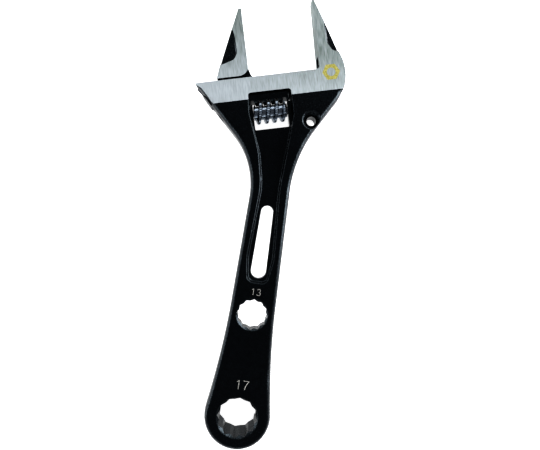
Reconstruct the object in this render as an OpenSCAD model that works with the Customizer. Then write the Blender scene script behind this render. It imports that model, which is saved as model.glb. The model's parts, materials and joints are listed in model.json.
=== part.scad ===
// Adjustable wrench with a thin wide-opening head, an I-beam handle and two 12-point ring sockets.
// The wrench lies on its back: handle along Y with the jaws towards +Y, front face towards +Z.
// Pieces: forged body with the fixed jaw, movable jaw with its rack, worm, worm pin and worm spring.

/* [Body] */
// Thickness of the ring and of the head
body_t = 11.6; // [9:0.1:14]
// Outside radius of the ring at the end of the handle
ring_r = 16.5; // [14.5:0.1:18]
// Thickness of the handle between the ring and the neck
handle_t = 6.8; // [5.5:0.1:8]
// Half width of the handle where it leaves the ring
handle_half_low = 11.85; // [11:0.05:13]
// Half width of the handle at the neck
handle_half_high = 9.45; // [8.8:0.05:11]
// Thickness of the web left between the two panels
web_t = 3.6; // [2.5:0.1:5]

/* [Sockets and slot] */
// Size across flats of the large ring socket
large_socket = 17; // [16:1:19]
// Size across flats of the small socket in the handle
small_socket = 13; // [10:1:14]
// Room that a socket has over its nominal size
socket_play = 0.3; // [0.1:0.05:0.4]
// Distance from the large socket to the small socket
small_socket_y = 50.2; // [46:0.1:54]
// Radius of the slot's end towards the jaws
slot_top_r = 3.05; // [2.5:0.05:3.3]
// Radius of the slot's end towards the ring
slot_low_r = 3.8; // [3:0.05:4]
// Radius of the lanyard hole
lanyard_r = 2.3; // [1.5:0.1:2.6]

/* [Head] */
// Angle between the handle and the square of the slide
head_angle = 15; // [15:0.5:22.5]
// Length of the slide from its free end to the fixed jaw
slide_len = 62; // [60:0.5:66]
// Reach of both jaws above the slide
jaw_reach = 35.3; // [30:0.1:38]
// Thickness of the ground faces at the slide
ground_t = 9.2; // [8:0.1:10]
// Thickness of the jaws at their tips
tip_t = 4.6; // [3:0.1:6]
// Opening between the jaws as drawn
opening = 35; // [5:0.5:38]

/* [Worm and rack] */
// Axial pitch of the worm and of the rack
pitch = 4; // [3.6:0.1:4.4]
// Outside radius of the worm
worm_r = 5.4; // [5.2:0.1:5.5]
// Depth of the worm thread
thread_depth = 2.1; // [1.8:0.1:2.2]
// Radius of the worm pin
pin_r = 1.4; // [1.2:0.1:1.5]
// Radius of the rack stem
stem_r = 4; // [3.8:0.05:4.1]

/* [Hidden] */
$fn = 96;
eps = 0.01;

// middle plane, where the forging dies meet
mid = body_t / 2;
// a length that clears the whole wrench
clear = 300;

// the foot of the fixed jaw on the slide is the origin of the head's own axes u and v
foot = [15.4, 174.5];

// handle corners as distances from the ring centre
handle_low_y = 32.3;
neck_left_y = 124.9;
neck_right_y = 130.4;
ring_tangent = 8.5;
slot_low_y = 72;
slot_top_y = 101.6;

// where the thick ends run down into the thin handle
ring_ramp = [11, 26];
head_ramp = [114, 136];

// slide, window and stem, in the head's axes
ground_edge_v = -11.3;
stem_v = -9.3;
stem_play = 0.08;
neck_t = 4;
neck_play = 0.12;
jaw_gap_v = 0.9;
gusset = 2.2;
hollow_z = 3;
stem_right = 18.4;
stem_left = 28;
stem_proud = 0.7;
// first and last groove of the rack, counted from the one over the middle of the worm
rack_first = -9;
rack_last = 2;
worm_v = -17;
worm_play = 0.25;
spring_gap = 0.55;
worm_u = -26.5;
worm_len = 16.4;
window_low_v = -25.7;
pin_play = 0.05;
pin_seat = 0.02;
pin_head_r = 2.4;
pin_head_u = -49.2;
pin_head_len = 4;
pin_end_u = -13.6;

// worm thread, measured along the axis
crest_w = 1.2;
root_w = 2.1;
flank_play = 0.22;
thread_steps = 30;
sunk = 0.1;

// spring in the counterbore of the worm
spring_bore_r = 2.5;
spring_bore_depth = 5;
spring_wire_r = 0.25;
spring_r = 2.0;
spring_turns = 6.5;

// the origin is under the middle of the wrench's bounding box
x_left = foot[0] - slide_len * cos(head_angle);
x_right = foot[0] + 12.45;
y_top = foot[1] + jaw_reach * cos(head_angle) + 0.3;
origin = [(x_left + x_right) / 2, (y_top - ring_r) / 2, 0];

// a point given along u and v, in the handle's axes
function head_pt(u, v) = foot + [
    u * cos(head_angle) - v * sin(head_angle),
    u * sin(head_angle) + v * cos(head_angle)
];

// one corner [x, y, radius] of an outline, as the points of its fillet
function corner(before, at, after) =
    let (
        c = [at[0], at[1]],
        a = [before[0], before[1]] - c,
        b = [after[0], after[1]] - c,
        ua = a / norm(a),
        ub = b / norm(b),
        half = acos(ua * ub) / 2,
        reach = at[2] / tan(half),
        mid_dir = (ua + ub) / norm(ua + ub),
        centre = c + mid_dir * at[2] / sin(half),
        from = c + ua * reach - centre,
        to = c + ub * reach - centre,
        a0 = atan2(from[1], from[0]),
        turn_raw = atan2(to[1], to[0]) - a0,
        turn = turn_raw > 180 ? turn_raw - 360 : (turn_raw < -180 ? turn_raw + 360 : turn_raw),
        steps = max(2, ceil(abs(turn) / 3))
    )
    at[2] == 0 ? [c] : [
        for (i = [0 : steps]) centre + at[2] * [cos(a0 + turn * i / steps), sin(a0 + turn * i / steps)]
    ];

// an outline whose corners carry their own radius
function rounded(corners) =
    let (n = len(corners))
    [for (i = [0 : n - 1]) each corner(corners[(i + n - 1) % n], corners[i], corners[(i + 1) % n])];

// a corner placed along u and v
function head_corner(u, v, r) = [head_pt(u, v)[0], head_pt(u, v)[1], r];

// moves a shape drawn in the head's axes into the handle's axes
module in_head() {
    translate([foot[0], foot[1], 0])
        rotate([0, 0, head_angle])
            children();
}

// a round bar along u, centred on the middle plane
module bar_u(r, u0, u1, v) {
    translate([u0, v, mid])
        rotate([0, 90, 0])
            cylinder(r = r, h = u1 - u0);
}

// a shape cut into both faces down to a given distance from the middle plane
module both_faces(floor_z) {
    for (side = [0, 1])
        translate([0, 0, mid])
            mirror([0, 0, side])
                translate([0, 0, floor_z])
                    linear_extrude(body_t)
                        children();
}

// 12-point socket: two hexagons turned by 30 degrees
module twelve_point(across) {
    for (turn = [0, 30])
        rotate(turn)
            circle(r = across / sqrt(3), $fn = 6);
}

// outline of the forging, ring aside
module body_outline() {
    side = [ring_r * cos(ring_tangent), ring_r * sin(ring_tangent)];
    polygon(rounded([
        [side[0], side[1], 0],
        [handle_half_low, handle_low_y, 380],
        [handle_half_high, neck_right_y, 64],
        head_corner(15.3, -7.7, 22),
        head_corner(1.2, jaw_reach, 0.5),
        head_corner(0, jaw_reach, 0.3),
        head_corner(0, 0, 2.2),
        head_corner(-slide_len, 0, 0.6),
        [-handle_half_high, neck_left_y, 39],
        [-handle_half_low, handle_low_y, 380],
        [-side[0], side[1], 0]
    ]));
}

// thickness of the forging along the handle
module handle_profile() {
    h = handle_t / 2;
    polygon([
        [-ring_r - 1, -mid], [ring_ramp[0], -mid], [ring_ramp[1], -h],
        [head_ramp[0], -h], [head_ramp[1], -mid], [clear, -mid],
        [clear, mid], [head_ramp[1], mid], [head_ramp[0], h],
        [ring_ramp[1], h], [ring_ramp[0], mid], [-ring_r - 1, mid]
    ]);
}

// half thickness of the ground faces at a height v on the jaws
function ground_half(v) = (ground_t + (tip_t - ground_t) * v / jaw_reach) / 2;

// thickness of the head and the jaws: full below the ground edge, tapering above it
module head_profile() {
    top = jaw_reach + 1;
    polygon([
        [-clear, -mid], [ground_edge_v, -mid], [ground_edge_v, -ground_half(ground_edge_v)],
        [top, -ground_half(top)], [top, ground_half(top)],
        [ground_edge_v, ground_half(ground_edge_v)], [ground_edge_v, mid], [-clear, mid]
    ]);
}

// a profile drawn across v and z, carried along u
module along_u(length) {
    translate([-length / 2, 0, mid])
        rotate([90, 0, 90])
            linear_extrude(length)
                children();
}

// recessed panel of the I-beam handle, which runs up round the worm window
module panel_outline() {
    polygon(rounded([
        [-4.6, 66.3, 3], [4.6, 66.3, 3], [6.4, 78, 30], [4.2, 113, 60],
        [5.4, 140, 20], head_corner(-15.7, -21, 4), head_corner(-15.7, -8.1, 1),
        head_corner(-36.4, -8.1, 1), head_corner(-37, -18, 8),
        [-8.2, 129.5, 30], [-4.7, 114, 40], [-6.4, 78, 30]
    ]));
}

// tapered slot through the web
module slot_outline() {
    hull() {
        translate([0, slot_low_y])
            circle(r = slot_low_r, $fn = 32);
        translate([0, slot_top_y])
            circle(r = slot_top_r, $fn = 32);
    }
}

// unground corner of the fixed jaw, below the ground taper
module fixed_jaw_hollow() {
    polygon(rounded([
        [4.6, 23, 0], [5, 13, 3], [7, 9, 3], [14, 5, 0], [14, 23, 0]
    ]));
}

// lanyard hole with its wide dimples
module lanyard_cut() {
    dimple_r = 4.2;
    dimple_depth = 3.4;
    translate([0, 0, -1])
        cylinder(r = lanyard_r, h = body_t + 2);
    for (side = [0, 1])
        translate([0, 0, mid])
            mirror([0, 0, side])
                translate([0, 0, mid - dimple_depth])
                    cylinder(r1 = lanyard_r, r2 = dimple_r, h = dimple_depth + eps);
}

// everything cut out of the head for the slide, the worm and its pin
module head_cuts() {
    half = neck_t / 2 + neck_play;
    bar_u(stem_r + stem_play, -clear, clear, stem_v);
    // slot of the neck, open at the free end, with a pocket in the foot of the fixed jaw
    translate([-slide_len - 5, stem_v, mid - half])
        cube([slide_len + 5 + gusset + 0.6, -stem_v + 1, 2 * half]);
    translate([-5, 0, mid - half])
        cube([5 + gusset + 0.6, 7, 2 * half]);
    // worm window
    translate([worm_u - worm_len / 2 - worm_play, window_low_v, -1])
        cube([worm_len + worm_play + spring_gap, stem_v - window_low_v, body_t + 2]);
    // pin bore, blind in the far cheek, and the seat of the pin head
    bar_u(pin_r + pin_seat, -clear, pin_end_u + 0.1, worm_v);
    bar_u(pin_head_r + pin_seat, -clear, pin_head_u + pin_head_len, worm_v);
}

module body() {
    color([0.05, 0.05, 0.06])
    translate(-origin)
    difference() {
        intersection() {
            union() {
                cylinder(r = ring_r, h = body_t);
                linear_extrude(body_t)
                    body_outline();
            }
            along_u_of_handle()
                handle_profile();
            in_head()
                along_u(2 * clear)
                    head_profile();
        }
        both_faces(web_t / 2)
            panel_outline();
        translate([0, 0, -1])
            linear_extrude(body_t + 2)
                slot_outline();
        translate([0, 0, -1])
            linear_extrude(body_t + 2)
                twelve_point(large_socket + socket_play);
        translate([0, small_socket_y, -1])
            linear_extrude(body_t + 2)
                twelve_point(small_socket + socket_play);
        in_head() {
            head_cuts();
            both_faces(hollow_z)
                fixed_jaw_hollow();
            translate([-7.1, -24.6, 0])
                lanyard_cut();
        }
    }
}

// a profile drawn across Y and z, carried along X
module along_u_of_handle() {
    translate([-clear / 2, 0, mid])
        rotate([90, 0, 90])
            linear_extrude(clear)
                children();
}

// outline of the movable jaw above the slide, its inner face on u = 0
module jaw_outline() {
    polygon(rounded([
        [0, jaw_reach, 0.3], [-1.5, jaw_reach, 0.5], [-13.9, 7, 6],
        [-16, jaw_gap_v, 0.5], [0, jaw_gap_v, 4.8]
    ]));
}

// unground corner of the movable jaw
module movable_jaw_hollow() {
    polygon(rounded([
        [-5.1, 26.5, 0], [-4.7, 13, 3], [-6.4, 9.8, 3], [-16, 6.8, 0], [-16, 26.5, 0]
    ]));
}

// thin plate that joins the jaw to the stem, with its gusset
module neck_outline() {
    polygon([
        [0, 5.8], [gusset, 0.4], [gusset, stem_v], [-15.5, stem_v], [-15.5, jaw_gap_v + 1], [-1, 8]
    ]);
}

// rack grooves across the underside of the stem, leaning with the worm's lead
module rack_grooves() {
    pitch_r = worm_r - thread_depth / 2;
    lead = atan(pitch / (2 * PI * pitch_r));
    root_v = worm_v + worm_r + 0.2;
    low_v = stem_v - stem_r - 1;
    slope = (root_w - crest_w) / 2 / thread_depth;
    top_half = crest_w / 2 + flank_play;
    low_half = top_half + slope * (root_v - low_v);
    for (k = [rack_first : rack_last])
        translate([opening + worm_u + k * pitch, 0, mid])
            rotate([0, -lead, 0])
                translate([0, 0, -stem_r - 1])
                    linear_extrude(2 * stem_r + 2)
                        polygon([
                            [-top_half, root_v], [-low_half, low_v], [low_half, low_v], [top_half, root_v]
                        ]);
}

// slanted end of the stem, a little proud of the free end of the slide
module stem_end_cut() {
    end = head_pt(-slide_len, 0);
    lean = atan((-handle_half_high - end[0]) / (end[1] - neck_left_y)) - head_angle;
    translate([opening - slide_len, 0, 0])
        rotate([0, 0, lean])
            translate([-clear - stem_proud * cos(lean), -clear / 2, -1])
                cube([clear, clear, body_t + 2]);
}

module movable_jaw() {
    color([0.7, 0.71, 0.7])
    translate(-origin)
    in_head()
    translate([-opening, 0, 0])
    difference() {
        union() {
            intersection() {
                linear_extrude(body_t)
                    jaw_outline();
                along_u(2 * clear)
                    head_profile();
            }
            translate([0, 0, mid - neck_t / 2])
                linear_extrude(neck_t)
                    neck_outline();
            bar_u(stem_r, -stem_left, stem_right, stem_v);
        }
        stem_end_cut();
        rack_grooves();
        both_faces(hollow_z)
            movable_jaw_hollow();
    }
}

// height of the thread along its length: it runs out into the core at both ends
function thread_height(deg, total) =
    let (run_out = 40)
    min(1, deg / run_out - sunk, (total - deg) / run_out - sunk);

// left-hand worm thread as one swept solid, its middle at u = 0
module worm_thread() {
    core = worm_r - thread_depth;
    slope = (root_w - crest_w) / 2 / thread_depth;
    low = core - 0.4;
    low_half = root_w / 2 + slope * 0.4;
    total = 360 * (worm_len - 2 * low_half - 0.1) / pitch;
    n = ceil(total / 360 * thread_steps);
    points = [
        for (i = [0 : n])
            let (
                deg = total * i / n,
                dir = deg - total / 2,
                shift = pitch * dir / 360,
                high = core + thread_depth * thread_height(deg, total),
                high_half = root_w / 2 - slope * (high - core)
            )
            for (p = [[low_half, low], [high_half, high], [-high_half, high], [-low_half, low]])
                [shift + p[0], p[1] * cos(dir), -p[1] * sin(dir)]
    ];
    polyhedron(points = points, faces = tube_faces(n, 4), convexity = 10);
}

// triangles of a tube of n rings, each ring with the same number of sides
function tube_faces(n, sides) = concat(
    [for (j = [1 : sides - 2]) [0, j + 1, j]],
    [for (j = [1 : sides - 2]) [n * sides, n * sides + j, n * sides + j + 1]],
    [for (i = [0 : n - 1]) for (j = [0 : sides - 1])
        let (k = (j + 1) % sides)
        each [
            [i * sides + j, i * sides + k, (i + 1) * sides + k],
            [i * sides + j, (i + 1) * sides + k, (i + 1) * sides + j]
        ]]
);

module worm() {
    core = worm_r - thread_depth;
    color([0.3, 0.31, 0.32])
    translate(-origin)
    in_head()
    difference() {
        union() {
            bar_u(core, worm_u - worm_len / 2, worm_u + worm_len / 2, worm_v);
            translate([worm_u, worm_v, mid])
                worm_thread();
        }
        bar_u(pin_r + pin_play, worm_u - worm_len, worm_u + worm_len, worm_v);
        bar_u(spring_bore_r, worm_u + worm_len / 2 - spring_bore_depth, worm_u + worm_len, worm_v);
    }
}

module worm_pin() {
    slot_w = 0.8;
    slot_depth = 1.2;
    color([0.25, 0.25, 0.27])
    translate(-origin)
    in_head()
    difference() {
        union() {
            bar_u(pin_r, pin_head_u, pin_end_u, worm_v);
            bar_u(pin_head_r, pin_head_u, pin_head_u + pin_head_len - 0.05, worm_v);
        }
        translate([pin_head_u - 1, worm_v - slot_w / 2, mid - pin_head_r - 1])
            cube([1 + slot_depth, slot_w, 2 * pin_head_r + 2]);
    }
}

module worm_spring() {
    sides = 6;
    steps = 16;
    gap = 0.05;
    u0 = worm_u + worm_len / 2 - spring_bore_depth + spring_wire_r + gap;
    u1 = worm_u + worm_len / 2 + spring_gap - spring_wire_r - gap;
    n = round(spring_turns * steps);
    points = [
        for (i = [0 : n])
            for (j = [0 : sides - 1])
                let (
                    dir = 360 * i / steps,
                    a = 360 * j / sides,
                    r = spring_r + spring_wire_r * cos(a)
                )
                [u0 + (u1 - u0) * i / n + spring_wire_r * sin(a), r * cos(dir), r * sin(dir)]
    ];
    color([0.6, 0.6, 0.6])
    translate(-origin)
    in_head()
    translate([0, worm_v, mid])
        polyhedron(points = points, faces = tube_faces(n, sides), convexity = 10);
}

body();
movable_jaw();
worm();
worm_pin();
worm_spring();
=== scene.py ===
import json
import math

import bmesh
import bpy
import numpy as np
from mathutils import Matrix, Vector
from mathutils.geometry import delaunay_2d_cdt


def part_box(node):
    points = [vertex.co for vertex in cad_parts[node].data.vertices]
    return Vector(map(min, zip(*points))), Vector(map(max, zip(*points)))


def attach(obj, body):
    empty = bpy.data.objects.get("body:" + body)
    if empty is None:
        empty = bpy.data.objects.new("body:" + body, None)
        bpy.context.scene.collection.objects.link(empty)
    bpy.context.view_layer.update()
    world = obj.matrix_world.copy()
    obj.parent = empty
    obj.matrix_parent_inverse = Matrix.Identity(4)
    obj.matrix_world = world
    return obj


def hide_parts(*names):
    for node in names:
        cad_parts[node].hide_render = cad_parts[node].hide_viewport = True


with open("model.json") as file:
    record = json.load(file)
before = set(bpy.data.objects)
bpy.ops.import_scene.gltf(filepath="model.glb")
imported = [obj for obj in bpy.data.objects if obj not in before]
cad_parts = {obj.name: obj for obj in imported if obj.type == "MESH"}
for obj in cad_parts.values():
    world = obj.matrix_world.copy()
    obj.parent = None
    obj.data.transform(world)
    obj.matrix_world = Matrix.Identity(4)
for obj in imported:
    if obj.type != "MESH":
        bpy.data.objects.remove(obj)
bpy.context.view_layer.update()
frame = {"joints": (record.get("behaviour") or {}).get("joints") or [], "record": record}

# ================================================================ places, from the frame
# All shapes are worked out in millimetres in the handle's axes: the origin is in the middle of the
# large socket at half the thickness, +y runs up the handle and +z out of the front face.
MM = 1000.0
mounts = {m["name"]: np.array(m["pos_m"]) * MM for m in frame["record"]["mounts"]}
joints = {j["name"]: j for j in frame["joints"]}
body_low, body_high = (np.array(c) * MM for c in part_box("body"))
worm_low, worm_high = (np.array(c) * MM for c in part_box("worm"))
pin_low, pin_high = (np.array(c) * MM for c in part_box("worm_pin"))
ORIGIN = mounts["large_socket"]

# the head has its own axes: u along the slide towards the fixed jaw, v up the jaws
ALONG = np.array(joints["jaw_slide"]["axis"][:2])
ACROSS = np.array([-ALONG[1], ALONG[0]])
TILT = math.atan2(ALONG[1], ALONG[0])
FACE_MOUNT_V = 20.0
FOOT = (mounts["fixed_jaw_face"] - ORIGIN)[:2] - FACE_MOUNT_V * ACROSS


def head(u, v):
    return FOOT + u * ALONG + v * ACROSS


def head_of(name):
    """A mount's place along u and v."""
    offset = (mounts[name] - ORIGIN)[:2] - FOOT
    return offset @ ALONG, offset @ ACROSS


OPENING = -head_of("movable_jaw_face")[0]
LANYARD = head(*head_of("lanyard_hole"))
SMALL_SOCKET = (mounts["small_socket"] - ORIGIN)[:2]
worm_offset = (np.array(joints["worm_spin"]["pos_m"]) * MM - ORIGIN)[:2] - FOOT
WORM_U, WORM_V = worm_offset @ ALONG, worm_offset @ ACROSS
WORM_R = (worm_high - worm_low)[2] / 2
PIN_HEAD_R = (pin_high - pin_low)[2] / 2
RING_R = ORIGIN[1] - body_low[1]

# thicknesses, as half thicknesses from the middle plane
PRINT_ROOM = 0.03
HALF = (body_high - body_low)[2] / 2 - PRINT_ROOM
HANDLE_HALF = 3.4
WEB_HALF = 1.8
RING_RAMP = (11, 26)
HEAD_RAMP = (114, 136)

# slide and jaws
SLIDE_LEN = 62
JAW_REACH = 35.3
GROUND_EDGE_V = -11.3
GROUND_HALF = 4.6
TIP_HALF = 2.3
STEM_V = -9.3
STEM_R = 4.0
STEM_ROOM = 0.08
NECK_HALF = 2.0
NECK_ROOM = 0.12
HOLLOW_HALF = 3.0
NECK_LEFT = np.array([-9.45, 124.9])
# tools that cut right through the head start and end this far along u
FAR_LEFT, FAR_RIGHT = -90, 40

# worm, pin and spring
WORM_LEN = 16.4
WORM_PLAY = 0.25
SPRING_GAP = 0.55
PITCH = 4.0
THREAD_DEPTH = 2.1
SPRING_BORE_R = 2.5
SPRING_BORE_DEPTH = 5
PIN_R = 1.4
PIN_PLAY = 0.05
PIN_ROOM = 0.02
PIN_HEAD_U = -49.2
PIN_END_U = -13.6
PIN_SEAT_R = 2.42
PIN_SEAT_DEPTH = 4

# openings of the handle: the slot is given by the centre height and radius of each of its ends
LARGE_ACROSS = 17.3
SMALL_ACROSS = 13.3
MOUTH_ROOM = 0.2
SLOT_LOW, SLOT_HIGH = (72, 3.8), (101.6, 3.05)

# which of the shared materials a face has
BLACK, GROUND, CUT = 0, 1, 2


def smooth(t):
    t = np.clip(t, 0, 1)
    return t * t * (3 - 2 * t)


def unit(v):
    return v / np.linalg.norm(v)


# ================================================================ outlines
ARC_STEP = math.radians(9)


def corner_arc(before, at, after, step):
    """The points of one corner's fillet."""
    if at[2] == 0:
        return at[None, :2]
    a, b = unit(before[:2] - at[:2]), unit(after[:2] - at[:2])
    half = math.acos(np.clip(a @ b, -1, 1)) / 2
    centre = at[:2] + unit(a + b) * at[2] / math.sin(half)
    start, end = (at[:2] + side * at[2] / math.tan(half) - centre for side in (a, b))
    turn = math.atan2(start[0] * end[1] - start[1] * end[0], start @ end)
    count = max(2, math.ceil(abs(turn) / ARC_STEP), math.ceil(abs(turn) * at[2] / step))
    angles = math.atan2(start[1], start[0]) + turn * np.linspace(0, 1, count + 1)
    return centre + at[2] * np.column_stack([np.cos(angles), np.sin(angles)])


def rounded(corners, step=0.8, closed=True):
    """Points round an outline of corners (x, y, fillet, values...).

    The values blend along the straights.
    """
    corners = [np.array(c, float) for c in corners]
    arcs = [
        corner_arc(corners[i - 1], c, corners[(i + 1) % len(corners)], step)
        for i, c in enumerate(corners)
    ]
    rows = []
    for i, c in enumerate(corners):
        rows += [np.concatenate([p, c[3:]]) for p in arcs[i]]
        after = (i + 1) % len(corners)
        if after == 0 and not closed:
            break
        start = rows[-1]
        end = np.concatenate([arcs[after][0], corners[after][3:]])
        count = max(1, math.ceil(np.linalg.norm(end[:2] - start[:2]) / step))
        rows += [start + (end - start) * k / count for k in range(1, count)]
    rows = np.array(rows)
    gap = np.linalg.norm(rows[:, :2] - np.roll(rows[:, :2], 1, 0), axis=1)
    return rows[gap > 1e-4]


def head_corner(u, v, fillet, *values):
    return (*head(u, v), fillet, *values)


def pill(low, high, step=0.6):
    """Outline round two circles (height, radius) on the handle's middle line."""
    (low_y, low_r), (high_y, high_r) = low, high
    lean = math.asin((low_r - high_r) / (high_y - low_y))
    edge_low = np.array([low_r * math.cos(lean), low_y + low_r * math.sin(lean)])
    edge_high = np.array([high_r * math.cos(lean), high_y + high_r * math.sin(lean)])
    count = math.ceil(np.linalg.norm(edge_high - edge_low) / step)
    right = [edge_low + (edge_high - edge_low) * k / count for k in range(1, count)]
    left = [p * [-1, 1] for p in reversed(right)]
    top = [
        [high_r * math.cos(a), high_y + high_r * math.sin(a)]
        for a in np.linspace(lean, math.pi - lean, 21)
    ]
    bottom = [
        [low_r * math.cos(a), low_y + low_r * math.sin(a)]
        for a in np.linspace(math.pi - lean, 2 * math.pi + lean, 25)
    ]
    return np.array([*right, *top, *left, *bottom])


def left_normals(points):
    """Unit normals on the left of the way round a closed outline."""
    ahead = np.roll(points, -1, 0) - points
    ahead /= np.linalg.norm(ahead, axis=1)[:, None]
    along = ahead + np.roll(ahead, 1, 0)
    along /= np.linalg.norm(along, axis=1)[:, None]
    return np.column_stack([-along[:, 1], along[:, 0]])


def segment_gap(points, outline, closed=True):
    """Distance from each point to the nearest edge of an outline."""
    a = outline if closed else outline[:-1]
    b = np.roll(outline, -1, 0) if closed else outline[1:]
    nearest = np.full(len(points), 1e9)
    for start, end in zip(a, b):
        edge = end - start
        t = np.clip((points - start) @ edge / (edge @ edge), 0, 1)
        nearest = np.minimum(nearest, np.linalg.norm(points - start - t[:, None] * edge, axis=1))
    return nearest


def inside(points, outline):
    x, y = points[:, 0], points[:, 1]
    odd = np.zeros(len(points), bool)
    for (x0, y0), (x1, y1) in zip(outline, np.roll(outline, -1, 0)):
        if y0 != y1:
            crosses = (y0 > y) != (y1 > y)
            odd ^= crosses & (x < x0 + (y - y0) * (x1 - x0) / (y1 - y0))
    return odd


# ================================================================ meshes
class Solid:
    """The points and faces of one mesh, in the handle's axes."""

    def __init__(self):
        self.points = []
        self.faces = []

    def ring(self, xy, z):
        start = len(self.points)
        z = np.broadcast_to(z, len(xy))
        self.points += [(p[0], p[1], h) for p, h in zip(xy, z)]
        return np.arange(start, len(self.points))

    def strip(self, low, high):
        for i in range(len(low)):
            j = (i + 1) % len(low)
            self.faces.append((low[i], low[j], high[j], high[i]))

    def skirt(self, outline, offsets, heights):
        """Rings along an outline at the given offsets to its left, each joined to the next."""
        normals = left_normals(outline)
        rings = []
        for offset, height in zip(offsets, heights):
            offset = np.broadcast_to(offset, len(outline))
            rings.append(self.ring(outline + normals * offset[:, None], height))
        for low, high in zip(rings, rings[1:]):
            self.strip(low, high)
        return rings

    def cap(self, rim, holes, height, spacing, lines=()):
        """Triangles between a rim and its holes, with inner points on a grid and on the lines."""
        # a mesh keeps single precision, so the triangles are found with the points as it keeps them
        everything = np.float32(self.points).astype(float)
        outlines = [everything[ring][:, :2] for ring in (rim, *holes)]
        low, high = outlines[0].min(0), outlines[0].max(0)
        grid = np.stack(
            np.meshgrid(*(np.arange(low[k] + spacing / 2, high[k], spacing) for k in (0, 1))), -1
        ).reshape(-1, 2)
        keep = inside(grid, outlines[0])
        for hole in outlines[1:]:
            keep &= ~inside(grid, hole)
        grid = grid[keep]
        clear = 0.4 * spacing
        for outline in outlines:
            grid = grid[segment_gap(grid, outline) > clear]
        for line in lines:
            grid = grid[segment_gap(grid, line, False) > clear]

        known = np.concatenate([rim, *holes])
        coords = [*map(tuple, everything[known][:, :2])]
        edges = []
        start = 0
        for outline in outlines:
            n = len(outline)
            edges += [(start + i, start + (i + 1) % n) for i in range(n)]
            start += n
        for line in lines:
            start = len(coords)
            coords += [*map(tuple, line)]
            edges += [(start + i, start + i + 1) for i in range(len(line) - 1)]
        coords += [*map(tuple, grid)]
        new_xy = np.concatenate([*lines, grid])
        known = np.concatenate([known, self.ring(new_xy, height(new_xy))])

        found, _, triangles, origins, _, _ = delaunay_2d_cdt(
            [Vector(c) for c in coords], edges, [], 0, 1e-6
        )
        found = np.array([tuple(p) for p in found])
        index = []
        for p, origin in zip(found, origins):
            if origin:
                index.append(known[origin[0]])
            else:
                index.append(self.ring(p[None], height(p[None]))[0])
        triangles = np.array(triangles)
        middles = found[triangles].mean(1)
        shown = inside(middles, outlines[0])
        for hole in outlines[1:]:
            shown &= ~inside(middles, hole)
        self.faces += [tuple(index[k] for k in t) for t in triangles[shown]]

    def mirror(self):
        """Adds the other half, on the far side of the middle plane."""
        count = len(self.points)
        other = []
        for i, (x, y, z) in enumerate(self.points[:count]):
            if abs(z) < 1e-9:
                other.append(i)
            else:
                other.append(len(self.points))
                self.points.append((x, y, -z))
        self.faces += [tuple(other[i] for i in reversed(face)) for face in self.faces]

    def build(self, name, paint=BLACK):
        mesh = bpy.data.meshes.new(name)
        points = [tuple(map(float, p)) for p in self.points]
        faces = [tuple(map(int, f)) for f in self.faces]
        mesh.from_pydata(points, [], faces)
        for material in shared_materials:
            mesh.materials.append(material)
        mesh.polygons.foreach_set("material_index", [paint] * len(mesh.polygons))
        work = bmesh.new()
        work.from_mesh(mesh)
        loose = [v for v in work.verts if not v.link_faces]
        bmesh.ops.delete(work, geom=loose, context="VERTS")
        bmesh.ops.recalc_face_normals(work, faces=work.faces)
        work.to_mesh(mesh)
        work.free()
        piece = bpy.data.objects.new(name, mesh)
        bpy.context.scene.collection.objects.link(piece)
        return piece


def evaluated(piece):
    """Applies a piece's modifiers."""
    graph = bpy.context.evaluated_depsgraph_get()
    mesh = bpy.data.meshes.new_from_object(piece.evaluated_get(graph))
    piece.modifiers.clear()
    piece.data = mesh


def combine(piece, tool, operation="DIFFERENCE"):
    boolean = piece.modifiers.new("combine", "BOOLEAN")
    boolean.operation = operation
    boolean.object = tool
    boolean.solver = "MANIFOLD"
    evaluated(piece)
    bpy.data.objects.remove(tool)


def lathe(name, profile, centre, axis, paint=CUT, segments=64):
    """A solid turned round an axis.

    The profile is (distance along the axis, radius), from one flat end to the other.
    """
    axis = np.array(axis, float)
    side = unit(np.cross(axis, [0, 0, 1])) if abs(axis[2]) < 0.5 else np.array([1.0, 0, 0])
    other = np.cross(axis, side)
    solid = Solid()
    angles = 2 * math.pi * np.arange(segments) / segments
    rings = []
    for t, r in profile:
        start = len(solid.points)
        turned = np.outer(np.cos(angles), side) + np.outer(np.sin(angles), other)
        solid.points += [*map(tuple, np.array(centre) + t * axis + r * turned)]
        rings.append(np.arange(start, start + segments))
    for low, high in zip(rings, rings[1:]):
        solid.strip(low, high)
    solid.faces.append(tuple(reversed(rings[0])))
    solid.faces.append(tuple(rings[-1]))
    return solid.build(name, paint)


def prisms(name, outlines, low, high, place, paint=CUT):
    """Solids with straight sides, one for each outline, in one mesh.

    place(number, a, b, t) says where the point (a, b) of an outline lies at t, which is low or high.
    """
    solid = Solid()
    for number, outline in enumerate(outlines):
        start, n = len(solid.points), len(outline)
        for t in (low, high):
            solid.points += [tuple(place(number, a, b, t)) for a, b in outline]
        near, far = np.arange(start, start + n), np.arange(start + n, start + 2 * n)
        solid.strip(near, far)
        solid.faces += [tuple(reversed(near)), tuple(far)]
    return solid.build(name, paint)


def rectangle(a0, a1, b0, b1):
    return [(a0, b0), (a1, b0), (a1, b1), (a0, b1)]


def head_box(name, u0, u1, v0, v1, half, paint=CUT):
    return prisms(
        name, [rectangle(u0, u1, v0, v1)], -half, half, lambda _, u, v, z: (*head(u, v), z), paint
    )


def head_lathe(name, profile, v, paint=CUT, segments=64):
    """A solid turned round a line along the slide."""
    return lathe(name, profile, (*head(0, v), 0), (*ALONG, 0), paint, segments)


def head_rod(name, u0, u1, r, v, paint=CUT, segments=64):
    return head_lathe(name, [(u0, r), (u1, r)], v, paint, segments)


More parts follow.
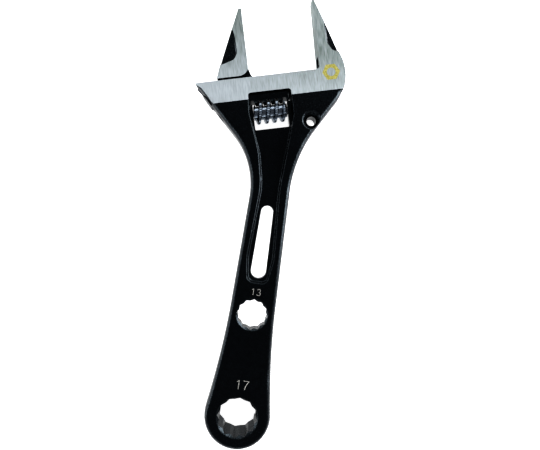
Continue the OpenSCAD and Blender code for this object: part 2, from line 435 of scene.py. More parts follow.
# ================================================================ materials
def add(tree, kind, inputs=None, **settings):
    """A node with its settings and inputs; an input that is another node's socket is linked."""
    made = tree.nodes.new(kind)
    for key, value in settings.items():
        setattr(made, key, value)
    for key, value in (inputs or {}).items():
        if isinstance(value, bpy.types.NodeSocket):
            tree.links.new(value, made.inputs[key])
        else:
            made.inputs[key].default_value = value
    return made


def new_material(name, **uniform):
    material = bpy.data.materials.new(name)
    material.use_nodes = True
    tree = material.node_tree
    shader = tree.nodes["Principled BSDF"]
    for key, value in uniform.items():
        shader.inputs[key.replace("_", " ")].default_value = value
    place = add(tree, "ShaderNodeTexCoord").outputs["Object"]
    return material, tree, shader, place


def stretched(tree, place, turn, scale, detail=4.0):
    """Noise with a scale in waves per millimetre for each axis, after a turn about z."""
    mapped = add(
        tree,
        "ShaderNodeMapping",
        {"Vector": place, "Rotation": (0, 0, turn), "Scale": tuple(1 / (MM * s) for s in scale)},
        vector_type="TEXTURE",
    )
    noise = add(
        tree, "ShaderNodeTexNoise", {"Vector": mapped.outputs[0], "Scale": 1.0, "Detail": detail}
    )
    return noise.outputs["Fac"]


def spread(tree, value, low, high, start=0.3, end=0.7):
    return add(
        tree,
        "ShaderNodeMapRange",
        {"Value": value, "From Min": start, "From Max": end, "To Min": low, "To Max": high},
    ).outputs[0]


def colours(tree, value, *stops):
    """A colour ramp of (position, colour) stops."""
    ramp = add(tree, "ShaderNodeValToRGB", {"Fac": value})
    while len(ramp.color_ramp.elements) < len(stops):
        ramp.color_ramp.elements.new(0.5)
    for element, (position, colour) in zip(ramp.color_ramp.elements, stops):
        element.position = position
        element.color = (*colour, 1)
    return ramp.outputs["Color"]


def bump(tree, height, depth_mm, strength=1.0, below=None):
    inputs = {"Height": height, "Distance": depth_mm / MM, "Strength": strength}
    if below is not None:
        inputs["Normal"] = below
    return add(tree, "ShaderNodeBump", inputs).outputs[0]


def black_coat():
    """Gloss black coat over a cast surface: orange peel, fine grain and a faint blue in the sheen."""
    material, tree, shader, place = new_material("black_coat")
    peel = stretched(tree, place, 0, (0.45, 0.45, 0.45))
    grain = stretched(tree, place, 0, (1.3, 1.3, 1.3), 6.0)
    shade = colours(tree, peel, (0.35, (0.0008, 0.001, 0.0012)), (0.7, (0.0016, 0.002, 0.0024)))
    tree.links.new(shade, shader.inputs["Base Color"])
    tree.links.new(spread(tree, grain, 0.16, 0.3), shader.inputs["Roughness"])
    low = bump(tree, peel, 0.03)
    tree.links.new(bump(tree, grain, 0.13, 1.0, low), shader.inputs["Normal"])
    shader.inputs["Specular IOR Level"].default_value = 0.25
    shader.inputs["Specular Tint"].default_value = (0.72, 0.88, 1.0, 1)
    return material


def ground_steel():
    """Bare steel ground across the slide, with a painted light gradient in its colour: painted lighter
    at the slide's free end and painted darker up the fixed jaw.
    """
    material, tree, shader, place = new_material("ground_steel", Metallic=1.0)
    lines = stretched(tree, place, TILT, (2.1, 0.16, 2.1), 6.0)
    fine = stretched(tree, place, TILT, (16.0, 0.6, 16.0), 3.0)
    patches = stretched(tree, place, 0, (0.12, 0.12, 0.12), 2.0)
    # painted light: a gradient along a slanted line across the head makes the steel's colour lighter
    # towards the slide's free end and darker up the fixed jaw
    slant, painted_light_from, painted_shade_from = math.radians(24), -28, 7
    slanted = add(
        tree,
        "ShaderNodeMapping",
        {
            "Vector": place,
            "Location": (*((FOOT + ORIGIN[:2]) / MM), 0),
            "Rotation": (0, 0, TILT - slant),
            "Scale": (1 / MM, 1 / MM, 1 / MM),
        },
        vector_type="TEXTURE",
    ).outputs[0]
    way = add(tree, "ShaderNodeSeparateXYZ", {"Vector": slanted}).outputs["Y"]
    painted_light = spread(tree, way, 0.38, -0.14, painted_light_from, painted_shade_from)
    tone = add(
        tree, "ShaderNodeMix", {"Factor": 0.15, "A": lines, "B": patches}, data_type="FLOAT"
    ).outputs[0]
    # the painted light gradient is added to the tone of the brush lines and patches
    tone = add(tree, "ShaderNodeMath", {0: tone, 1: painted_light}, operation="ADD").outputs[0]
    shade = colours(tree, tone, (0.22, (0.115, 0.138, 0.13)), (0.95, (0.405, 0.44, 0.465)))
    tree.links.new(shade, shader.inputs["Base Color"])
    tree.links.new(spread(tree, lines, 0.54, 0.68), shader.inputs["Roughness"])
    low = bump(tree, lines, 0.012)
    tree.links.new(bump(tree, fine, 0.006, 1.0, low), shader.inputs["Normal"])
    return material


def machined_steel(name, dark, light, rough):
    """Darker steel with fine tool marks."""
    material, tree, shader, place = new_material(name, Metallic=1.0)
    marks = stretched(tree, place, TILT, (3.0, 3.0, 0.8), 5.0)
    tree.links.new(colours(tree, marks, (0.3, dark), (0.7, light)), shader.inputs["Base Color"])
    tree.links.new(spread(tree, marks, rough - 0.08, rough + 0.12), shader.inputs["Roughness"])
    tree.links.new(bump(tree, marks, 0.02), shader.inputs["Normal"])
    return material


def printed(name, dark, light, **uniform):
    """Thin print with a slightly patchy cover."""
    material, tree, shader, place = new_material(name, **uniform)
    patches = stretched(tree, place, 0, (1.6, 1.6, 1.6), 5.0)
    tree.links.new(colours(tree, patches, (0.3, dark), (0.7, light)), shader.inputs["Base Color"])
    tree.links.new(spread(tree, patches, 0.4, 0.6), shader.inputs["Roughness"])
    return material


COAT = black_coat()
STEEL = ground_steel()
CUT_STEEL = machined_steel("cut_steel", (0.03, 0.033, 0.035), (0.09, 0.095, 0.1), 0.42)
WORM_STEEL = machined_steel("worm_steel", (0.035, 0.042, 0.052), (0.33, 0.38, 0.44), 0.22)
PIN_STEEL = machined_steel("pin_steel", (0.1, 0.1, 0.11), (0.2, 0.2, 0.22), 0.35)
SPRING_STEEL = machined_steel("spring_steel", (0.45, 0.45, 0.46), (0.62, 0.62, 0.63), 0.25)
NUMERAL_PRINT = printed("numeral_print", (0.1, 0.1, 0.095), (0.3, 0.29, 0.27))
GOLD_PRINT = printed("gold_print", (0.17, 0.155, 0.025), (0.34, 0.32, 0.11), Metallic=0.6)
shared_materials = [COAT, STEEL, CUT_STEEL]


# ================================================================ the forging's faces
def ground_half(v):
    """Half thickness of the ground faces."""
    return GROUND_HALF + (TIP_HALF - GROUND_HALF) * v / JAW_REACH


def at_jaw(corners):
    return [(u - OPENING, v, fillet) for u, v, fillet in corners]


fixed_hollow = [(4.6, 23, 0), (5, 13, 3), (7, 9, 3), (20, 2.6, 0), (20, 23, 0)]
moving_hollow = [(-5.1, 26.5, 0), (-4.7, 13, 3), (-6.4, 9.8, 3), (-22, 5, 0), (-22, 26.5, 0)]
FIXED_HOLLOW = rounded([head_corner(*c) for c in fixed_hollow])
MOVING_HOLLOW = rounded([head_corner(*c) for c in reversed(at_jaw(moving_hollow))])
HOLLOW_EDGE = 0.9


def forged_top(xy):
    """Height of the forging over its middle plane, before the faces are ground."""
    y = xy[:, 1]
    swell = np.maximum(
        smooth((RING_RAMP[1] - y) / (RING_RAMP[1] - RING_RAMP[0])),
        smooth((y - HEAD_RAMP[0]) / (HEAD_RAMP[1] - HEAD_RAMP[0])),
    )
    top = HANDLE_HALF + (HALF - HANDLE_HALF) * swell
    v = (xy - FOOT) @ ACROSS
    # what grinding takes off: little on the jaws and more at the foot of the ground face
    thin, thick, from_v, within = 0.08, 0.5, -6, 5
    stock = thin + (thick - thin) * smooth((from_v - v) / within)
    top = np.minimum(top, ground_half(v) + stock)
    for hollow in (FIXED_HOLLOW, MOVING_HOLLOW):
        depth = segment_gap(xy, hollow) * np.where(inside(xy, hollow), 1, -1)
        top = top + np.minimum(HOLLOW_HALF - top, 0) * smooth(depth / HOLLOW_EDGE + 0.35)
    return top


def ridge_lines(hollow, face):
    """Lines along the top, the middle and the foot of a hollow's wall, where they are inside a face."""
    normals = left_normals(hollow)
    inward = 1 if inside((hollow + normals * 0.05)[:1], hollow)[0] else -1
    lines = []
    for offset in (-0.32, 0.1, 0.55):
        line = hollow + normals * offset * inward
        lines += runs(line, inside(line, face) & (segment_gap(line, face) > 0.3))
    return lines


def runs(line, free):
    """The unbroken stretches of a line where free is true."""
    found, current = [], []
    for p, ok in zip(line, free):
        if ok:
            current.append(p)
        elif len(current) > 1:
            found.append(np.array(current))
            current = []
        else:
            current = []
    if len(current) > 1:
        found.append(np.array(current))
    return found


# how far the edges are rounded: inwards from the outline, and down from the top
RIM_FORGED = (2.4, 3.2)
RIM_FREE_END = (1.4, 5.0)
RIM_JAW = (0.5, 0.6)
RIM_FINE = (0.22, 0.22)
RIM_STEPS = 9
RIM_LEAST_WALL = 0.45
FLASH = 0.07
FLASH_SHARE = 0.3
DRAFT = 0.03


def rim_profile(outline, rims, top_of):
    """Offsets and heights of the rings from the parting line to the top of a forged edge."""
    wide, deep = rims[:, 0], rims[:, 1]
    forged = np.clip(wide / RIM_FORGED[0], 0, 1)
    crown = outline + left_normals(outline) * (wide + FLASH)[:, None]
    top = top_of(crown)
    deep = np.minimum(deep, top - RIM_LEAST_WALL)
    wall = top - deep
    offsets = [0 * wide, FLASH * forged]
    heights = [0 * top, FLASH_SHARE * wall]
    base = FLASH * forged + DRAFT * forged * wall
    for step in range(RIM_STEPS + 1):
        angle = math.pi / 2 * step / RIM_STEPS
        offsets.append(base + wide * (1 - math.cos(angle)))
        heights.append(wall + deep * math.sin(angle))
    return offsets, heights


# ================================================================ body
def body_outline():
    lean = math.radians(8.5)
    side = RING_R * np.array([math.cos(lean), math.sin(lean)])
    end = head(-SLIDE_LEN, 0)
    down = unit(NECK_LEFT - end)
    handle_and_head = rounded([
        (*side, 0, *RIM_FORGED),
        (11.85, 32.3, 380, *RIM_FORGED),
        (9.45, 130.4, 64, *RIM_FORGED),
        head_corner(15.3, -7.7, 22, *RIM_JAW),
        head_corner(1.2, JAW_REACH, 0.5, *RIM_FINE),
        head_corner(0, JAW_REACH, 0.3, *RIM_FINE),
        head_corner(0, 0, 2.2, *RIM_FINE),
        head_corner(-SLIDE_LEN, 0, 0.6, *RIM_FINE),
        (*(end + 4 * down), 0, *RIM_FREE_END),
        (*(end + 15 * down), 0, *RIM_FREE_END),
        (*NECK_LEFT, 39, *RIM_FORGED),
        (-11.85, 32.3, 380, *RIM_FORGED),
        (-side[0], side[1], 0, *RIM_FORGED),
    ], closed=False)
    angles = np.linspace(math.pi - lean, 2 * math.pi + lean, 81)[1:-1]
    ring = RING_R * np.column_stack([np.cos(angles), np.sin(angles)])
    return np.vstack([handle_and_head, [[*p, *RIM_FORGED] for p in ring]])


def panel_outline():
    return rounded([
        (-4.6, 66.3, 3),
        (4.6, 66.3, 3),
        (6.4, 78, 30),
        (4.2, 113, 60),
        (5.4, 140, 20),
        head_corner(-15.7, -21, 4),
        head_corner(-15.7, -8.1, 1.3),
        head_corner(-36.4, -8.1, 1.3),
        head_corner(-37, -18, 8),
        (-8.2, 129.5, 30),
        (-4.7, 114, 40),
        (-6.4, 78, 30),
    ], 0.7)


def panel_profile(outline, top_of):
    """Offsets and heights from the floor of the panel up to the face round it."""
    # the roundings get smaller towards the head
    near_head = smooth((outline[:, 1] - 124) / 20)
    round_top = 0.75 - 0.4 * near_head
    round_low = 0.8 - 0.3 * near_head
    lean = 0.15
    top = top_of(outline)
    angles = np.linspace(0, math.pi / 2, 7)
    offsets, heights = [], []
    for angle in reversed(angles):
        offsets.append(-lean - round_low * (1 - math.cos(angle)))
        heights.append(WEB_HALF + round_low * (1 - math.sin(angle)))
    for angle in angles:
        offsets.append(lean + round_top * (1 - math.cos(angle)))
        heights.append(top - round_top * (1 - math.sin(angle)))
    return offsets, heights


def socket_outline(centre, across, per_edge=5):
    """Clockwise points round a 12-point socket and their distances from its axis."""
    angles = -2 * math.pi * np.arange(24 * per_edge) / (24 * per_edge)
    sixth = math.pi / 3
    hexagons = [
        across / 2 / np.cos((angles + turn) % sixth - sixth / 2) for turn in (0, sixth / 2)
    ]
    radius = np.maximum(*hexagons)
    way = np.column_stack([np.cos(angles), np.sin(angles)])
    return centre + way * radius[:, None], radius, way


def socket(solid, centre, across, top_of):
    """The wall and chamfered mouth of a socket's upper half. Returns its rim on the face."""
    outline, radius, way = socket_outline(centre, across)
    mouth = across / math.sqrt(3) + MOUTH_ROOM
    lip_in, lip_out = 0.12, 0.14
    top = top_of(centre + way * mouth)
    low = solid.ring(outline, 0)
    edge = solid.ring(outline, top - (mouth - radius))
    lip = solid.ring(centre + way * (mouth - lip_in), top - lip_out)
    rim = solid.ring(centre + way * (mouth + lip_out), top)
    for a, b in ((low, edge), (edge, lip), (lip, rim)):
        solid.strip(a, b)
    return rim


def wall(edge, top, steps):
    """Offsets and heights of a straight wall from the middle plane, with its top edge rounded."""
    angles = np.linspace(0, math.pi / 2, steps)
    offsets = [0] + [edge * (1 - math.cos(a)) for a in angles]
    heights = [0] + [top - edge * (1 - math.sin(a)) for a in angles]
    return offsets, heights


def grinding(name):
    """What the grinding wheel takes off both faces of the head."""
    far, above = 60, HALF + 4
    profile = [
        (GROUND_EDGE_V, ground_half(GROUND_EDGE_V)),
        (far, ground_half(far)),
        (far, above),
        (GROUND_EDGE_V, above),
    ]
    faces = [profile, [(v, -z) for v, z in profile]]
    return prisms(name, faces, FAR_LEFT, FAR_RIGHT, lambda _, v, z, u: (*head(u, v), z), GROUND)


def machine(piece, jaw_u, facing):
    """Bares the gripping face of a jaw, and the slide between the jaws."""
    near, steep, foot = 0.3, 0.7, 0.5
    for face in piece.data.polygons:
        middle, normal = np.array(face.center)[:2] - FOOT, np.array(face.normal)[:2]
        u, v = middle @ ALONG, middle @ ACROSS
        grips = abs(u - jaw_u) < near and v > foot and facing * (normal @ ALONG) > steep
        slides = abs(v) < near and u < 0 and normal @ ACROSS > steep
        if grips or slides:
            face.material_index = GROUND


def make_body():
    solid = Solid()
    rows = body_outline()
    outline, rims = rows[:, :2], rows[:, 2:]
    v = (outline - FOOT) @ ACROSS
    # below the ground faces every edge is forged
    below = smooth((GROUND_EDGE_V + 1.5 - v) / 4)[:, None]
    rims = rims + (np.array(RIM_FORGED) - rims) * below
    rim = solid.skirt(outline, *rim_profile(outline, rims, forged_top))[-1]

    panel = panel_outline()[::-1]
    panel_rings = solid.skirt(panel, *panel_profile(panel, forged_top))
    large = socket(solid, np.zeros(2), LARGE_ACROSS, forged_top)
    small = socket(solid, SMALL_SOCKET, SMALL_ACROSS, forged_top)
    face = np.array(solid.points)[rim][:, :2]
    lines = ridge_lines(FIXED_HOLLOW, face)
    solid.cap(rim, [panel_rings[-1], large, small], forged_top, 1.3, lines)

    slot = solid.skirt(pill(SLOT_LOW, SLOT_HIGH)[::-1], *wall(0.35, WEB_HALF, 5))[-1]
    solid.cap(panel_rings[0], [slot], lambda xy: np.full(len(xy), WEB_HALF), 1.5)
    solid.mirror()
    body = solid.build("body_forging")

    combine(body, grinding("grinding"))
    combine(body, window_tool())
    slot_half, slot_end, past_end = NECK_HALF + NECK_ROOM, 2.8, -SLIDE_LEN - 6
    combine(body, head_box("neck_slot", past_end, slot_end, STEM_V, 3, slot_half))
    combine(body, head_box("foot_pocket", -6, slot_end, 1, 7, slot_half))
    combine(body, head_rod("stem_bore", FAR_LEFT, FAR_RIGHT, STEM_R + STEM_ROOM, STEM_V))
    bore_end, seat_end = PIN_END_U + 0.1, PIN_HEAD_U + PIN_SEAT_DEPTH
    combine(body, head_rod("pin_bore", FAR_LEFT, bore_end, PIN_R + PIN_ROOM, WORM_V, CUT, 32))
    combine(body, head_rod("pin_seat", FAR_LEFT, seat_end, PIN_SEAT_R, WORM_V, CUT, 48))
    combine(body, lanyard_tool())
    machine(body, 0, -1)
    return body


def window_tool():
    """The worm's window, from below the worm up to the middle of the stem."""
    low_v, fillet, half = -25.7, 0.7, 9
    left = WORM_U - WORM_LEN / 2 - WORM_PLAY
    right = WORM_U + WORM_LEN / 2 + SPRING_GAP
    window = rounded([(u, v, fillet) for u, v in rectangle(left, right, low_v, STEM_V)])
    return prisms("window", [window], -half, half, lambda _, u, v, z: (*head(u, v), z), BLACK)


def lanyard_tool():
    """The lanyard hole, with a wide countersink and a soft lip at each end."""
    hole_r, cone_r, depth = 2.3, 4.3, 3.0
    lip, lip_r = 0.5, 5.4
    cone = [(HALF - depth, hole_r), (HALF - lip, cone_r)]
    for t in np.linspace(0, math.pi / 2, 8)[1:]:
        cone.append((HALF - lip * (1 - math.sin(t)), lip_r - (lip_r - cone_r) * math.cos(t)))
    profile = [(1.5, hole_r), *cone, (HALF + 0.5, lip_r + 1.2)]
    profile = [(-t, r) for t, r in reversed(profile)] + profile
    return lathe("lanyard_tool", profile, (*LANYARD, 0), (0, 0, 1), BLACK, 64)


# ================================================================ movable jaw
def jaw_corner(u, v, fillet, *values):
    return head_corner(u - OPENING, v, fillet, *values)


def make_neck():
    """The flat plate between the jaw and its stem."""
    outline = rounded([
        jaw_corner(-0.6, 7.6, 0),
        jaw_corner(0.1, 5.4, 0.4),
        jaw_corner(0.9, 2.2, 3),
        jaw_corner(2.2, 0.4, 0.2),
        jaw_corner(2.2, STEM_V, 0),
        jaw_corner(-15.5, STEM_V, 0),
        jaw_corner(-15.5, 1.9, 0),
    ][::-1], 0.7)
    solid = Solid()
    rim = solid.skirt(outline, *wall(0.12, NECK_HALF, 4))[-1]
    solid.cap(rim, [], lambda xy: np.full(len(xy), NECK_HALF), 1.5)
    solid.mirror()
    return solid.build("neck", BLACK)


def make_jaw():
    solid = Solid()
    rows = rounded([
        jaw_corner(0, JAW_REACH, 0.3, *RIM_FINE),
        jaw_corner(-1.5, JAW_REACH, 0.5, *RIM_FINE),
        jaw_corner(-13.9, 7, 6, *RIM_JAW),
        jaw_corner(-16, 0.9, 0.5, *RIM_FINE),
        jaw_corner(0, 0.9, 4.8, *RIM_FINE),
    ], 0.6)
    outline, rims = rows[:, :2], rows[:, 2:]
    rim = solid.skirt(outline, *rim_profile(outline, rims, forged_top))[-1]
    face = np.array(solid.points)[rim][:, :2]
    solid.cap(rim, [], forged_top, 1.0, ridge_lines(MOVING_HOLLOW, face))
    solid.mirror()
    jaw = solid.build("jaw_forging")
    combine(jaw, grinding("jaw_grinding"))
    combine(jaw, make_neck(), "UNION")
    combine(jaw, make_stem(), "UNION")
    machine(jaw, -OPENING, 1)
    return jaw


def make_stem():
    """The round stem with the rack cut across its underside."""
    left, right, bevel, spare = -28, 18.4, 0.4, 6
    profile = [(left - spare, STEM_R), (right - bevel, STEM_R), (right, STEM_R - bevel)]
    stem = head_lathe("stem", [(t - OPENING, r) for t, r in profile], STEM_V, BLACK, 72)
    combine(stem, stem_end_tool())
    combine(stem, rack_tool())
    return stem


def stem_end_tool():
    """What is cut off the stem's free end: it follows the slant of the slide's end, a little proud."""
    proud, reach, length = 0.3, 6, 30
    slant = unit(NECK_LEFT - head(-SLIDE_LEN, 0))
    lean = (slant @ ALONG) / (slant @ ACROSS)
    low, high = STEM_V - reach, STEM_V + reach
    low_u, high_u = (-SLIDE_LEN - proud + lean * v for v in (low, high))
    waste = [(high_u - length, high), (low_u - length, low), (low_u, low), (high_u, high)]
    return prisms("stem_end", [waste], -reach, reach, lambda _, u, v, z: (*head(u, v), z))


def rack_tool():
    """The grooves of the rack, turned to the lead of the worm's thread."""
    grooves, last, crest, play = 12, 2, 1.2, 0.2
    root_v = WORM_V + WORM_R + play
    low_v = STEM_V - STEM_R - 1
    top_half = crest / 2 + 0.22
    slope = 0.45 / THREAD_DEPTH
    low_half = top_half + slope * (root_v - low_v)
    lead = math.atan(PITCH / (2 * math.pi * (WORM_R - THREAD_DEPTH / 2)))
    groove = [(-top_half, root_v), (-low_half, low_v), (low_half, low_v), (top_half, root_v)]

    def place(number, a, v, z):
        u = WORM_U + (number + last + 1 - grooves) * PITCH
        u += a * math.cos(lead) - z * math.sin(lead)
        return (*head(u, v), z * math.cos(lead) + a * math.sin(lead))

    return prisms("rack", [groove] * grooves, -STEM_R - 1, STEM_R + 1, place)


# ================================================================ worm, pin and spring
def worm_profile():
    """(place along one pitch, radius, share of the crest) for the thread, its crest in the middle."""
    core, tip = WORM_R - THREAD_DEPTH, WORM_R - 0.05
    crest_half, foot, valley = 0.5, 1.17, 1.37
    rows = [(-PITCH / 2, core, 0.0), (-valley, core, 0.0)]
    for t in np.linspace(0, 1, 5):
        on_crest = float(t > 0.8)
        rows.append((-foot + (foot - crest_half) * t, core + (tip - core) * smooth(t), on_crest))
    rows.append((0.0, tip, 1.0))
    rows += [(-a, r, c) for a, r, c in reversed(rows[2:-1])]
    rows.append((valley, core, 0.0))
    return rows


def make_thread():
    """The bare thread, longer than the worm. It climbs one pitch each turn, and its crest is knurled."""
    solid = Solid()
    profile = worm_profile()
    per_pitch, turns, around = len(profile), 7, 144
    knurl, half_tooth = 0.16, 2
    rows = [
        (a + PITCH * (turn - turns / 2 + 1), r, c) for turn in range(turns) for a, r, c in profile
    ]
    for j in range(around):
        angle = 2 * math.pi * j / around
        tooth = knurl * abs(j % (2 * half_tooth) - half_tooth) / half_tooth
        for a, r, c in rows:
            u = WORM_U + a + PITCH / 2 - PITCH * j / around
            v = WORM_V + (r - tooth * c) * math.cos(angle)
            solid.points.append((*head(u, v), (r - tooth * c) * math.sin(angle)))
    count = len(rows)
    last = around - 1

    def at(j, i):
        return j * count + i

    for j in range(last):
        solid.faces += [
            (at(j, i), at(j + 1, i), at(j + 1, i + 1), at(j, i + 1)) for i in range(count - 1)
        ]
    # the last column meets the first one a pitch further on
    solid.faces += [
        (at(last, i), at(0, i - per_pitch), at(0, i - per_pitch + 1), at(last, i + 1))
        for i in range(per_pitch, count - 1)
    ]
    start_loop = [at(j, 0) for j in range(around)]
    start_loop += [at(last, i) for i in range(1, per_pitch + 1)]
    end_loop = [at(j, count - 1) for j in range(around)]
    end_loop += [at(0, i) for i in range(count - 1 - per_pitch, count - 1)]
    for loop, (a, _, _) in ((start_loop, rows[0]), (end_loop, rows[-1])):
        middle = len(solid.points)
        solid.points.append((*head(WORM_U + a, WORM_V), 0))
        solid.faces += [(loop[i], loop[(i + 1) % len(loop)], middle) for i in range(len(loop))]
    return solid.build("worm_thread", BLACK)


def make_worm():
    """The thread cut to length with tapered ends, with the pin's bore and the spring's counterbore."""
    worm = make_thread()
    half, core = WORM_LEN / 2, WORM_R - THREAD_DEPTH
    chamfer, taper, over, reach = 0.1, 1.2, WORM_R + 0.1, 20
    envelope = [
        (-half, core - chamfer),
        (-half + chamfer, core),
        (-half + taper, over),
        (half - taper, over),
        (half - chamfer, core),
        (half, core - chamfer),
    ]
    envelope = [(WORM_U + t, r) for t, r in envelope]
    combine(worm, head_lathe("worm_blank", envelope, WORM_V, BLACK, 96), "INTERSECT")
    bore_r = PIN_R + PIN_PLAY
    combine(worm, head_rod("worm_bore", WORM_U - reach, WORM_U + reach, bore_r, WORM_V, BLACK, 32))
    end = WORM_U + half
    inner, outer = end - SPRING_BORE_DEPTH, end + SPRING_BORE_DEPTH
    combine(worm, head_rod("worm_seat", inner, outer, SPRING_BORE_R, WORM_V, BLACK, 48))
    return worm


def make_pin():
    """The pin with its slotted head. The head is a little shorter than its seat is deep."""
    bevel, soft = 0.3, 0.15
    shoulder = PIN_HEAD_U + PIN_SEAT_DEPTH - 0.05
    profile = [
        (PIN_HEAD_U, PIN_HEAD_R - bevel),
        (PIN_HEAD_U + bevel, PIN_HEAD_R),
        (shoulder - soft, PIN_HEAD_R),
        (shoulder, PIN_HEAD_R - soft),
        (shoulder, PIN_R),
        (PIN_END_U - bevel, PIN_R),
        (PIN_END_U, PIN_R - bevel),
    ]
    pin = head_lathe("pin_blank", profile, WORM_V, BLACK, 64)
    outside, floor, low_v, high_v = PIN_HEAD_U - 2, PIN_HEAD_U + 1.2, WORM_V - 0.4, WORM_V + 0.4
    combine(pin, head_box("pin_slot", outside, floor, low_v, high_v, 6, BLACK))
    return pin


def make_spring():
    """The coil spring, from the floor of its counterbore to the cheek of the window."""
    wire_r, coil_r, turns, gap = 0.25, 2.0, 6.5, 0.05
    start = WORM_U + WORM_LEN / 2 - SPRING_BORE_DEPTH + wire_r + gap
    end = WORM_U + WORM_LEN / 2 + SPRING_GAP - wire_r - gap
    solid = Solid()
    per_turn, sides = 40, 12
    steps = int(turns * per_turn)
    rings = []
    for i in range(steps + 1):
        t = i / steps
        angle = 2 * math.pi * turns * t
        ring = []
        for k in range(sides):
            a = 2 * math.pi * k / sides
            r = coil_r + wire_r * math.cos(a)
            u = start + (end - start) * t + wire_r * math.sin(a)
            ring.append(len(solid.points))
            solid.points.append((*head(u, WORM_V + r * math.cos(angle)), r * math.sin(angle)))
        rings.append(ring)
    for low, high in zip(rings, rings[1:]):
        solid.strip(low, high)
    solid.faces += [tuple(reversed(rings[0])), tuple(rings[-1])]
    return solid.build("spring_wire", BLACK)


# ================================================================ print
def ribbon(solid, path, width, sunk, proud):
    """One stroke of a numeral: a flat bar along a path, following the forging."""
    path = np.array(path, float)
    ahead = np.gradient(path, axis=0)
    ahead /= np.linalg.norm(ahead, axis=1)[:, None]
    side = np.column_stack([-ahead[:, 1], ahead[:, 0]]) * width / 2
    rings = []
    top = forged_top(path)
    for p, s, z in zip(path, side, top):
        ring = []
        for q, lift in ((p + s, -sunk), (p - s, -sunk), (p - s, proud), (p + s, proud)):
            ring.append(len(solid.points))
            solid.points.append((*q, z + lift))
        rings.append(ring)
    for a, b in zip(rings, rings[1:]):
        solid.strip(a, b)
    solid.faces += [tuple(reversed(rings[0])), tuple(rings[-1])]


def arc(x, y, r, start, end, stretch=1.0):
    angles = np.radians(np.linspace(start, end, 18))
    return np.column_stack([x + r * stretch * np.cos(angles), y + r * np.sin(angles)])


def line(*points):
    """Points along a path of straights, close enough for the print to follow the forging."""
    step = 0.08
    points = np.array(points, float)
    rows = [points[:1]]
    for a, b in zip(points, points[1:]):
        count = math.ceil(np.linalg.norm(b - a) / step)
        rows.append(a + (b - a) * np.arange(1, count + 1)[:, None] / count)
    return np.concatenate(rows)


# strokes on a cell that is one high and about 0.6 wide, from its middle
STROKES = {
    "1": [
        line((-0.24, 0.3), (-0.1, 0.36), (0.02, 0.48)),
        line((0.02, 0.5), (0.02, 0), (0.02, -0.5)),
    ],
    "3": [
        arc(-0.02, 0.235, 0.235, 160, -90, 1.05),
        arc(-0.02, -0.25, 0.25, 90, -160, 1.1),
    ],
    "7": [
        line((-0.34, 0.47), (0, 0.47), (0.36, 0.47)),
        line((0.34, 0.47), (0.12, 0.15), (-0.02, -0.15), (-0.1, -0.5)),
    ],
}


def make_numerals(name, text, centre, height, stroke):
    solid = Solid()
    advance = 0.86 * height
    for place, letter in enumerate(text):
        x = (place - (len(text) - 1) / 2) * advance
        for path in STROKES[letter]:
            ribbon(solid, path * height + centre + [x, 0], stroke, sunk=0.08, proud=0.025)
    return solid.build(name, BLACK)


def make_gold_mark():
    """A plain hexagon nut on the ground face."""
    centre_u, centre_v, across, bore = 5.0, -2.2, 7.6, 2.1
    sunk, proud = -0.05, 0.015

    def around(radius, angles):
        return [head(centre_u + radius * math.cos(a), centre_v + radius * math.sin(a)) for a in angles]

    def height(xy, lift):
        return ground_half((xy - FOOT) @ ACROSS) + lift

    sixths = np.radians(np.arange(0, 360, 60))
    hexagon = rounded([(*corner, 0.4) for corner in around(across / math.sqrt(3), sixths)], 0.8)
    circle = np.array(around(bore, np.linspace(0, 2 * math.pi, 49)[:-1]))
    solid = Solid()
    rims, lows = [], []
    for outline in (hexagon, circle[::-1]):
        low = solid.ring(outline, height(outline, sunk))
        high = solid.ring(outline, height(outline, proud))
        solid.strip(low, high)
        rims.append(high)
        lows.append(low)
    solid.cap(rims[0], rims[1:], lambda xy: height(xy, proud), 1.5)
    solid.cap(lows[0], lows[1:], lambda xy: height(xy, sunk), 1.5)
    return solid.build("gold_mark", BLACK)


# ================================================================ pieces onto their bodies
SHARP = math.radians(27)


def place_piece(piece, name, body, materials, replaces=()):
    """Moves a finished mesh to the frame's metres, shades it and hangs it on its body."""
    piece.name = name
    mesh = piece.data
    mesh.name = name
    mesh.transform(Matrix.Diagonal((1 / MM, 1 / MM, 1 / MM, 1)) @ Matrix.Translation(ORIGIN))
    # every mesh comes with the shared materials: its own take their places and the spare ones go
    for index, material in enumerate(materials):
        mesh.materials[index] = material
    while len(mesh.materials) > len(materials):
        mesh.materials.pop(index=len(mesh.materials) - 1)
    mesh.shade_smooth()
    mesh.set_sharp_from_angle(angle=SHARP)
    weighted = piece.modifiers.new("weighted_normals", "WEIGHTED_NORMAL")
    weighted.keep_sharp = True
    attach(piece, body)
    if replaces:
        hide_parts(*replaces)


place_piece(make_body(), "wrench_body", "wrench", shared_materials, ["body"])
place_piece(make_jaw(), "sliding_jaw", "jaw", shared_materials, ["movable_jaw"])
place_piece(make_worm(), "worm_screw", "worm", [WORM_STEEL], ["worm"])
place_piece(make_pin(), "worm_pin_turned", "wrench", [PIN_STEEL], ["worm_pin"])
place_piece(make_spring(), "worm_coil_spring", "wrench", [SPRING_STEEL], ["worm_spring"])
place_piece(
    make_numerals("size_17", "17", np.array([0.1, 16.0]), 4.1, 0.4),
    "numerals_17", "wrench", [NUMERAL_PRINT],
)
place_piece(
    make_numerals("size_13", "13", np.array([0.3, 61.6]), 3.2, 0.34),
    "numerals_13", "wrench", [NUMERAL_PRINT],
)
place_piece(make_gold_mark(), "gold_nut_mark", "wrench", [GOLD_PRINT])


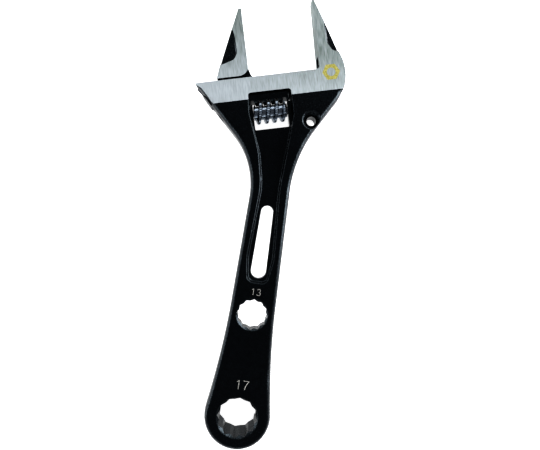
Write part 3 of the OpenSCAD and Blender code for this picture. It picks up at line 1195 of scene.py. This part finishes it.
# ================================================================ floor, light and camera
def make_floor():
    """A plain white floor, slightly luminous, just under the wrench."""
    mesh = bpy.data.meshes.new("floor")
    reach, room = 3.0, 0.0002
    corners = [(-reach, -reach, 0), (reach, -reach, 0), (reach, reach, 0), (-reach, reach, 0)]
    mesh.from_pydata(corners, [], [(0, 1, 2, 3)])
    floor = bpy.data.objects.new("floor", mesh)
    material, tree, shader, place = new_material("floor", Roughness=0.9)
    cloud = stretched(tree, place, 0, (0.004, 0.004, 0.004), 2.0)
    shade = colours(tree, cloud, (0.3, (0.86, 0.86, 0.86)), (0.7, (0.9, 0.9, 0.9)))
    tree.links.new(shade, shader.inputs["Base Color"])
    shader.inputs["Specular IOR Level"].default_value = 0.1
    shader.inputs["Emission Color"].default_value = (1, 1, 1, 1)
    shader.inputs["Emission Strength"].default_value = 0.64
    mesh.materials.append(material)
    bpy.context.scene.collection.objects.link(floor)
    floor.location.z = -room


def softbox(name, azimuth, elevation, distance, width, height, power):
    """An area light that looks at the middle of the wrench. Azimuth 0 is on the +x side."""
    light = bpy.data.lights.new(name, "AREA")
    light.shape = "RECTANGLE"
    light.size, light.size_y = width, height
    light.energy = power
    lamp = bpy.data.objects.new(name, light)
    a, e = math.radians(azimuth), math.radians(elevation)
    way = Vector((math.cos(a) * math.cos(e), math.sin(a) * math.cos(e), math.sin(e)))
    lamp.location = way * distance
    lamp.rotation_euler = way.to_track_quat("Z", "Y").to_euler()
    bpy.context.scene.collection.objects.link(lamp)


def make_world():
    """Bright round the horizon and dark overhead, as in a light tent with the camera in its roof."""
    world = bpy.data.worlds.new("tent")
    bpy.context.scene.world = world
    world.use_nodes = True
    tree = world.node_tree
    place = add(tree, "ShaderNodeTexCoord").outputs["Generated"]
    up = add(tree, "ShaderNodeSeparateXYZ", {"Vector": place}).outputs["Z"]
    shade = colours(tree, up, (0.0, (1, 1, 1)), (0.45, (0.55, 0.57, 0.6)), (0.8, (0.23, 0.23, 0.24)))
    tree.links.new(shade, tree.nodes["Background"].inputs["Color"])
    tree.nodes["Background"].inputs["Strength"].default_value = 0.9


def make_camera():
    """Close above the middle of the wrench, looking straight down and turned a little."""
    camera = bpy.data.cameras.new("camera")
    camera.sensor_width = 36
    camera.lens = 24.03
    camera.shift_x = 0.0352
    camera.clip_start = 0.01
    seen = bpy.data.objects.new("camera", camera)
    eye = ORIGIN + [-7.0, 93.9, 180.8]
    seen.location = Vector(eye / MM)
    seen.rotation_euler = (0, 0, math.radians(8.4))
    bpy.context.scene.collection.objects.link(seen)
    bpy.context.scene.camera = seen


make_floor()
make_world()
softbox("right_light", 28, 16, distance=0.6, width=0.66, height=0.44, power=11.0)
softbox("left_light", 180, 12, distance=0.6, width=1.0, height=0.1, power=2.4)
softbox("top_light", 95, 31, distance=0.8, width=1.2, height=0.45, power=3.6)
softbox("low_light", 265, 20, distance=0.7, width=0.7, height=0.2, power=0.8)
make_camera()
bpy.context.scene.view_settings.view_transform = "Standard"
bpy.context.scene.view_settings.look = "High Contrast"
